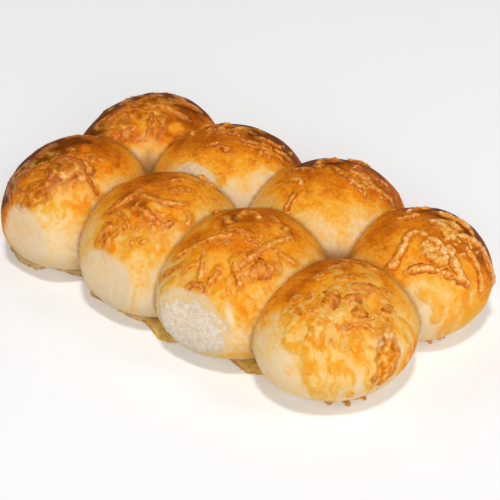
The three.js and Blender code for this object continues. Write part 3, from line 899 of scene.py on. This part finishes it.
def make_shreds(strands):
    """Every shred as a low knobbly ridge with its foot sunk into the crust, joined as one mesh."""
    strands = [strand for strand in strands if strand["kind"] != "drip"]
    line, normals = onto_crust(np.concatenate([strand["line"] for strand in strands]))
    thick, tall = noise(line, 5.0, 51), noise(line, 4.0, 52)
    sides = SHRED_TOP + len(SHRED_UNDER)
    points, crown, faces = [], [], []
    first = 0
    for strand in strands:
        count = len(strand["line"])
        rows = slice(first, first + count)
        rings, bell = shred_rings(strand, line[rows], normals[rows], thick[rows], tall[rows])
        points.append(rings)
        crown.append(bell)
        grid = (first + np.arange(count)[:, None]) * sides + np.arange(sides)
        turned = np.roll(grid, -1, axis=1)
        quads = np.stack([grid[:-1], turned[:-1], turned[1:], grid[1:]], axis=2)
        faces += quads.reshape(-1, 4).tolist() + [grid[0, ::-1].tolist(), grid[-1].tolist()]
        first += count
    points, crown = np.concatenate(points), np.concatenate(crown)
    counts = [len(strand["line"]) * sides for strand in strands]
    tone, melt = (np.repeat([strand[key] for strand in strands], counts) for key in ("tone", "melt"))
    knob = layered(points, KNOBS)
    lift = knob * (0.75 - 0.68 * melt) * np.clip(crown * 1.4, 0.0, 1.0)
    points = points + np.repeat(normals, sides, axis=0) * lift[:, None]
    mesh = bpy.data.meshes.new("cheese_shreds")
    mesh.from_pydata((points * MM).tolist(), [], faces)
    patchy = layered(points, SHRED_TONES)
    pallor = (1.0 - melt) * (0.1 + 0.75 * crown ** 2) + melt * (0.2 + 0.15 * crown)
    set_field(mesh, "pallor", pallor + tone + (0.45 - 0.28 * melt) * (patchy + knob))
    mesh.shade_smooth()
    return add_object("cheese_shreds", mesh)


# Cheese that ran out under the rolls

def skirt_front():
    """Places along X, how far out the cheese ran at each, and how much it swelled there."""
    knots = np.array(SKIRT_EDGE, dtype=float)
    xs = np.arange(knots[0, 0] + 0.5, knots[-1, 0] - 0.4, SKIRT_STEP)
    spots = np.stack([xs, np.zeros_like(xs), np.zeros_like(xs)], axis=1)
    front = np.interp(xs, knots[:, 0], knots[:, 1]) + layered(spots, RAGGED_LIP)
    return xs, front, 1.0 + 0.3 * noise(spots, 9.0, 63)


def add_lip(bm, xs, front, swell):
    """The lip of cheese, with rings of points from its left end to its right end."""
    rings = []
    for x, y, tall in zip(xs, front, swell):
        back = max(SKIRT_BACK, y + SKIRT_DEPTH)
        outline = [(y + inward, SKIRT_THICKNESS * high * tall) for inward, high in SKIRT_SECTION]
        outline += [(back, SKIRT_THICKNESS * SKIRT_SECTION[-1][1]), (back, 0.0)]
        rings.append([bm.verts.new((x, *spot)) for spot in outline])
    for one, two in zip(rings, rings[1:]):
        for j in range(len(one)):
            k = (j + 1) % len(one)
            bm.faces.new((one[j], one[k], two[k], two[j]))
    bm.faces.new(rings[0][::-1])
    bm.faces.new(rings[-1])


def add_drops(bm):
    """Crumbled drops of browned cheese at the right end."""
    rng = np.random.default_rng(DROP_SEED)
    for x, y, radius in np.repeat(DROPS, DROP_CRUMBS, axis=0):
        x, y = (x, y) + rng.normal(0.0, 0.5 * radius, 2)
        size = radius * rng.uniform(0.25, 0.55)
        made = bmesh.ops.create_uvsphere(bm, u_segments=16, v_segments=10, radius=1.0)
        for vert in made["verts"]:
            way = vert.co.copy()
            vert.co = (x + size * way.x, y + size * way.y, max(0.0, 0.7 * DROP_HEIGHT * way.z))


def make_skirt():
    """A thin uneven lip of cheese along the front, with drops at the right end, joined as one mesh."""
    bm = bmesh.new()
    xs, front, swell = skirt_front()
    add_lip(bm, xs, front, swell)
    add_drops(bm)
    bmesh.ops.scale(bm, vec=(MM, MM, MM), verts=bm.verts)
    bmesh.ops.recalc_face_normals(bm, faces=bm.faces)
    mesh = bpy.data.meshes.new("cheese_skirt")
    bm.to_mesh(mesh)
    bm.free()
    along, depth, _ = (get_points(mesh) / MM).T
    drop = along > SKIRT_EDGE[-1][0] + 1.0
    start, stop, again = (smoothstep(-3.0, 3.0, along - x) for x in SKIRT_GOLDEN)
    set_field(mesh, "brink", np.where(drop, 0.0, smoothstep(1.4, 0.0, depth - np.interp(along, xs, front))))
    set_field(mesh, "golden", np.where(drop, 0.0, np.maximum(start * (1.0 - stop), again)))
    set_field(mesh, "drop", drop)
    mesh.shade_smooth()
    return add_object("cheese_skirt", mesh)


# Materials

class Nodes:
    """Adds nodes to a material, with plain values set on their sockets and sockets linked."""

    def __init__(self, name):
        self.material = bpy.data.materials.new(name)
        self.material.use_nodes = True
        self.tree = self.material.node_tree
        self.shader = self.tree.nodes["Principled BSDF"]
        self.place = self.tree.nodes.new("ShaderNodeTexCoord").outputs["Object"]

    def put(self, socket, value):
        if isinstance(value, bpy.types.NodeSocket):
            self.tree.links.new(value, socket)
        else:
            socket.default_value = value

    def fill(self, node, inputs):
        """Sets or links a node's sockets by name, with underscores for spaces."""
        for key, value in inputs.items():
            self.put(node.inputs[key.replace("_", " ")], value)
        return node

    def add(self, kind, settings=None, **inputs):
        node = self.tree.nodes.new("ShaderNode" + kind)
        for key, value in (settings or {}).items():
            setattr(node, key, value)
        return self.fill(node, inputs)

    def shade(self, **inputs):
        self.fill(self.shader, inputs)

    def field(self, name):
        return self.add("Attribute", {"attribute_name": name}).outputs["Fac"]

    def math(self, operation, *values, clamp=False):
        node = self.add("Math", {"operation": operation, "use_clamp": clamp})
        for socket, value in zip(node.inputs, values):
            self.put(socket, value)
        return node.outputs[0]

    def times(self, first, second):
        return self.math("MULTIPLY", first, second)

    def scaled(self, value, factor, offset):
        return self.math("MULTIPLY_ADD", value, factor, offset)

    def step(self, value, low, high, start=0.0, end=1.0):
        node = self.add("MapRange", {"interpolation_type": "SMOOTHSTEP"}, Value=value,
                        From_Min=low, From_Max=high, To_Min=start, To_Max=end)
        return node.outputs["Result"]

    def noise(self, size_mm, **inputs):
        inputs.setdefault("Vector", self.place)
        return self.add("TexNoise", Scale=1.0 / (size_mm * MM), **inputs)

    def speckle(self, size_mm, detail=3.0):
        return self.noise(size_mm, Detail=detail).outputs["Fac"]

    def cells(self, size_mm):
        return self.add("TexVoronoi", Scale=1.0 / (size_mm * MM), Vector=self.place).outputs["Distance"]

    def ramp(self, value, stops):
        node = self.add("ValToRGB", Fac=value)
        elements = node.color_ramp.elements
        while len(elements) < len(stops):
            elements.new(1.0)
        for element, (spot, colour) in zip(elements, stops):
            element.position = spot
            element.color = (*colour, 1.0)
        return node.outputs["Color"]

    def mix(self, factor, first, second, blend="MIX"):
        node = self.add("Mix", {"data_type": "RGBA", "blend_type": blend})
        for socket, value in zip((node.inputs[0], node.inputs[6], node.inputs[7]), (factor, first, second)):
            self.put(socket, (*value, 1.0) if isinstance(value, tuple) else value)
        return node.outputs[2]

    def bump(self, height, strength, distance_mm, normal=None):
        node = self.add("Bump", Height=height, Strength=strength, Distance=distance_mm * MM)
        if normal is not None:
            self.put(node.inputs["Normal"], normal)
        return node.outputs["Normal"]


# Colours by place from 0 to 1: crust by how browned it is, film by how thick, the rest by how pale
CRUST_RAMP = [
    (0.0, (0.86, 0.66, 0.40)),
    (0.15, (0.91, 0.58, 0.22)),
    (0.30, (0.92, 0.46, 0.065)),
    (0.44, (0.93, 0.36, 0.018)),
    (0.56, (0.84, 0.25, 0.006)),
    (0.70, (0.60, 0.14, 0.004)),
    (0.85, (0.32, 0.068, 0.003)),
    (1.0, (0.12, 0.030, 0.003)),
]
FILM_RAMP = [
    (0.0, (1.0, 1.0, 1.0)),
    (0.1, (1.0, 0.88, 0.58)),
    (0.28, (1.0, 0.76, 0.26)),
    (0.5, (1.0, 0.66, 0.11)),
    (0.75, (0.96, 0.54, 0.06)),
    (1.0, (0.76, 0.34, 0.03)),
]
BAKED_RAMP = [
    (0.0, (0.42, 0.10, 0.006)),
    (0.25, (0.64, 0.18, 0.010)),
    (0.5, (0.84, 0.30, 0.026)),
    (0.75, (0.91, 0.46, 0.10)),
    (1.0, (0.94, 0.64, 0.29)),
]
SHRED_RAMP = [
    (0.0, (0.46, 0.105, 0.005)),
    (0.25, (0.69, 0.19, 0.010)),
    (0.5, (0.85, 0.31, 0.026)),
    (0.75, (0.91, 0.47, 0.12)),
    (1.0, (0.96, 0.66, 0.32)),
]
SKIRT_SPOTS = (0.2, 0.5, 0.85)
SKIRT_COLOURS = {
    "cream": ((0.86, 0.58, 0.23), (0.93, 0.72, 0.38), (0.97, 0.82, 0.54)),
    "gold": ((0.90, 0.54, 0.11), (0.96, 0.65, 0.19), (0.98, 0.74, 0.30)),
    "orange": ((0.62, 0.20, 0.015), (0.80, 0.34, 0.04), (0.86, 0.46, 0.09)),
}


# Single colours, and pairs that speckles run between
FLECK = (0.93, 0.64, 0.30)
ISLAND = (0.93, 0.67, 0.31)  # crust that shows between pools of film
# browned cheese and painted shade beside each strand
SHRED_RIM_AND_SHADE = (0.66, 0.23, 0.012)
CRISP_OUTLINE = (0.56, 0.17, 0.012)
PULLED_MARK = ((0.80, 0.61, 0.38), (0.86, 0.70, 0.49))
SEAM = (0.90, 0.66, 0.36)
CRUMB = ((0.74, 0.58, 0.41), (0.87, 0.74, 0.58))
CRUMB_EDGE = (0.84, 0.59, 0.29)
# dark brown where three rolls meet: browning and painted shade
PIT_BROWN_AND_SHADE = (0.36, 0.16, 0.050)
# painted shadow along the creases between rolls
CREASE_SHADOW = (0.34, 0.12, 0.022)
BRINK = (0.48, 0.19, 0.025)
CRACK = (0.42, 0.17, 0.03)
# Painted shade, which multiplies the colour under it: in the valleys between rolls and towards their foot
VALLEY_SHADE = (0.48, 0.48, 0.58)
PAINTED_FOOT_SHADE = (0.70, 0.75, 0.82)


def bare_crust(n, brown, broad, mottle, grain):
    """Crust from cream to brown, mottled and with pale flecks."""
    toast = n.scaled(grain, 0.3, n.scaled(broad, 0.45, n.scaled(mottle, 0.42, -0.585)))
    toast = n.times(toast, n.step(brown, 0.45, 0.8, 1.0, 0.5))
    colour = n.ramp(n.math("ADD", brown, toast, clamp=True), CRUST_RAMP)
    flecks = n.times(n.step(n.cells(2.4), 0.08, 0.3, 0.5, 0.0), n.step(broad, 0.4, 0.6))
    flecks = n.math("MAXIMUM", flecks, n.step(n.cells(1.5), 0.1, 0.35, 0.4, 0.0))
    return n.mix(n.times(flecks, n.step(brown, 0.45, 0.8, 1.0, 0.06)), colour, FLECK)


def film_over(n, colour, film, lace, grain):
    """Lays melted cheese over a colour, in streaks downhill. Also returns its thickness and the streaks."""
    wander = n.noise(6.0, Detail=2.0).outputs["Color"]
    warp = n.add("VectorMath", {"operation": "MULTIPLY_ADD"})
    for socket, value in zip(warp.inputs, (wander, (6.0 * MM,) * 3, n.place)):
        n.put(socket, value)
    downhill = n.add("Mapping", Vector=warp.outputs[0], Scale=FLOW_STRETCH).outputs["Vector"]
    smear = n.noise(4.5, Vector=downhill, Detail=4.0, Roughness=0.6).outputs["Fac"]
    pooled = n.step(n.scaled(lace, -0.05, smear), 0.38, 0.58)
    bare = n.math("SUBTRACT", 1.0, pooled)
    island = n.times(n.times(bare, n.step(film, 0.3, 0.6)), n.scaled(lace, 0.6, 0.25))
    rim = n.times(n.times(pooled, bare), n.scaled(lace, 0.7, 0.3))
    run = n.scaled(pooled, 0.56, n.scaled(grain, 0.3, 0.03))
    thick = n.times(film, n.math("ADD", run, rim))
    colour = n.mix(island, colour, ISLAND)
    return n.mix(1.0, colour, n.ramp(thick, FILM_RAMP), "MULTIPLY"), thick, smear


def crisp_over(n, colour, crisp, grain):
    """Lays cheese that baked to a rough crust over a colour, with a dark outline."""
    tone = n.scaled(n.speckle(4.0), 2.2, n.scaled(crisp, 0.8, -1.45))
    baked = n.ramp(n.scaled(grain, 0.5, tone), BAKED_RAMP)
    outline = n.times(n.step(crisp, 0.05, 0.2), n.step(crisp, 0.25, 0.4, 0.5, 0.0))
    return n.mix(outline, n.mix(n.step(crisp, 0.15, 0.5), colour, baked), CRISP_OUTLINE)


def crumb_over(n, colour, torn, mottle, grain):
    """Lays torn crumb over a colour, yellower towards its edge."""
    light = n.step(n.scaled(grain, 0.5, n.times(mottle, 0.5)), 0.36, 0.6)
    crumb = n.mix(n.step(torn, 0.85, 1.0), CRUMB_EDGE, n.mix(light, *CRUMB))
    return n.mix(n.step(torn, 0.3, 0.6), colour, crumb)


def crust_material():
    n = Nodes("golden crust")
    fields = (n.field(name) for name in PAINTED)
    brown, film, lace, strand_rim_and_shade, torn, flat, fold, crisp, crease_shadow, shaded_valley, pit_brown_and_shade, foot = fields
    broad, mottle, grain = n.speckle(9.0), n.speckle(2.6), n.speckle(0.8)

    colour = bare_crust(n, brown, broad, mottle, grain)
    colour, thick, smear = film_over(n, colour, film, lace, grain)
    # browned cheese and painted shade beside each strand
    colour = n.mix(n.times(strand_rim_and_shade, 0.5), colour, SHRED_RIM_AND_SHADE)
    colour = crisp_over(n, colour, crisp, grain)
    colour = n.mix(n.times(flat, 0.7), colour, n.mix(n.step(mottle, 0.35, 0.7), *PULLED_MARK))
    colour = n.mix(n.step(fold, 0.1, 0.6), colour, SEAM)
    colour = crumb_over(n, colour, torn, mottle, grain)
    # painted shade in the valleys between rolls
    colour = n.mix(shaded_valley, colour, VALLEY_SHADE, "MULTIPLY")
    # browning and painted shade where three rolls meet
    colour = n.mix(n.times(pit_brown_and_shade, 0.75), colour, PIT_BROWN_AND_SHADE)
    # a painted shadow line along each crease
    colour = n.mix(n.times(crease_shadow, 0.6), colour, CREASE_SHADOW)
    # painted shade towards the foot of each roll
    colour = n.mix(foot, colour, PAINTED_FOOT_SHADE, "MULTIPLY")

    wet = n.times(n.math("ADD", smear, n.speckle(1.5)), n.step(film, 0.15, 0.9))
    holes = n.scaled(torn, 0.4, n.step(crisp, 0.2, 0.5, 0.0, 0.25))
    skin = n.bump(wet, 0.65, 0.9, n.bump(grain, 0.25, 0.5))
    skin = n.bump(n.times(n.math("ADD", grain, mottle), holes), 0.6, 0.9, skin)
    n.shade(
        Base_Color=colour,
        Roughness=n.math("MAXIMUM", n.scaled(mottle, 0.16, 0.5), n.times(torn, 0.95)),
        Specular_IOR_Level=0.03,
        Coat_Weight=n.times(n.step(thick, 0.05, 0.4), 0.5),
        Coat_Roughness=0.12,
        Normal=skin,
        Coat_Normal=skin,
    )
    return n.material


def shred_material():
    n = Nodes("baked cheese")
    mottle, grain = n.speckle(1.6), n.speckle(0.7, 2.0)
    pallor = n.math("ADD", n.field("pallor"), n.scaled(mottle, 0.7, -0.55))
    n.shade(
        Base_Color=n.ramp(n.scaled(grain, 0.6, pallor), SHRED_RAMP),
        Roughness=n.scaled(grain, 0.2, 0.2),
        Specular_IOR_Level=0.3,
        Normal=n.bump(grain, 0.4, 0.5, n.bump(mottle, 0.4, 0.9)),
    )
    return n.material


def skirt_material():
    n = Nodes("run cheese")
    brink, golden, drop = (n.field(name) for name in ("brink", "golden", "drop"))
    mottle, grain = n.speckle(4.0), n.speckle(1.0, 2.0)
    tone = n.scaled(mottle, 1.4, -0.2)
    ramps = {name: n.ramp(tone, list(zip(SKIRT_SPOTS, row))) for name, row in SKIRT_COLOURS.items()}
    colour = n.mix(drop, n.mix(golden, ramps["cream"], ramps["gold"]), ramps["orange"])
    browned = n.times(brink, n.step(mottle, 0.35, 0.6, 0.2, 0.85))
    colour = n.mix(browned, colour, BRINK)
    cracks = n.step(n.math("ABSOLUTE", n.math("SUBTRACT", n.speckle(6.0, 4.0), 0.5)), 0.0, 0.03, 0.7, 0.0)
    colour = n.mix(n.times(cracks, golden), colour, CRACK)
    n.shade(Base_Color=colour, Roughness=0.4, Specular_IOR_Level=0.2, Normal=n.bump(grain, 0.4, 0.5))
    return n.material


# Camera, light and floor

def toward(azimuth, elevation):
    """The way to a camera or a light, by its bearing round the batch and its height in degrees."""
    a, e = math.radians(azimuth), math.radians(elevation)
    return Vector((math.sin(a) * math.cos(e), -math.cos(a) * math.cos(e), math.sin(e)))


def make_camera():
    back, right = toward(CAMERA_AZIMUTH, CAMERA_ELEVATION), toward(CAMERA_AZIMUTH + 90.0, 0.0)
    up = back.cross(right)
    tip = math.radians(CAMERA_ROLL)
    turned = right * math.cos(tip) + up * math.sin(tip)
    upright = up * math.cos(tip) - right * math.sin(tip)
    data = bpy.data.cameras.new("camera")
    data.lens = CAMERA_LENS
    data.sensor_width = SENSOR_WIDTH
    camera = add_object("camera", data)
    place = (Vector(CAMERA_TARGET) + back * CAMERA_DISTANCE) * MM
    camera.matrix_world = Matrix.Translation(place) @ Matrix((turned, upright, back)).transposed().to_4x4()
    bpy.context.scene.camera = camera


def make_lights():
    for name, azimuth, elevation, size, energy, shines in LIGHTS:
        data = bpy.data.lights.new(name, "AREA")
        data.size = size
        data.energy = energy
        light = add_object(name, data)
        way = toward(azimuth, elevation)
        light.location = way * LIGHT_DISTANCE
        light.rotation_euler = way.to_track_quat("Z", "Y").to_euler()
        light.visible_glossy = shines
    world = bpy.data.worlds.new("studio")
    world.use_nodes = True
    background = world.node_tree.nodes["Background"]
    background.inputs["Color"].default_value = (1.0, 1.0, 1.0, 1.0)
    background.inputs["Strength"].default_value = WORLD_STRENGTH
    bpy.context.scene.world = world
    bpy.context.scene.view_settings.view_transform = "Standard"


def make_floor():
    half = FLOOR_HALF_WIDTH
    corners = [(-half, -half, 0), (half, -half, 0), (half, half, 0), (-half, half, 0)]
    mesh = bpy.data.meshes.new("floor")
    mesh.from_pydata(corners, [], [(0, 1, 2, 3)])
    n = Nodes("pale floor")
    n.shade(
        Base_Color=n.ramp(n.speckle(400.0, 2.0), FLOOR_RAMP),
        Roughness=0.8,
        Emission_Color=(1.0, 1.0, 1.0, 1.0),
        Emission_Strength=0.15,
    )
    mesh.materials.append(n.material)
    floor = add_object("floor", mesh)


def main():
    make_camera()
    make_lights()
    make_floor()
    strands = all_strands()
    bread = make_bread(strands)
    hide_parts("roll_batch")
    for piece, material in (
        (bread, crust_material()),
        (make_shreds(strands), shred_material()),
        (make_skirt(), skirt_material()),
    ):
        piece.data.materials.clear()
        piece.data.materials.append(material)
        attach(piece, "root")


main()
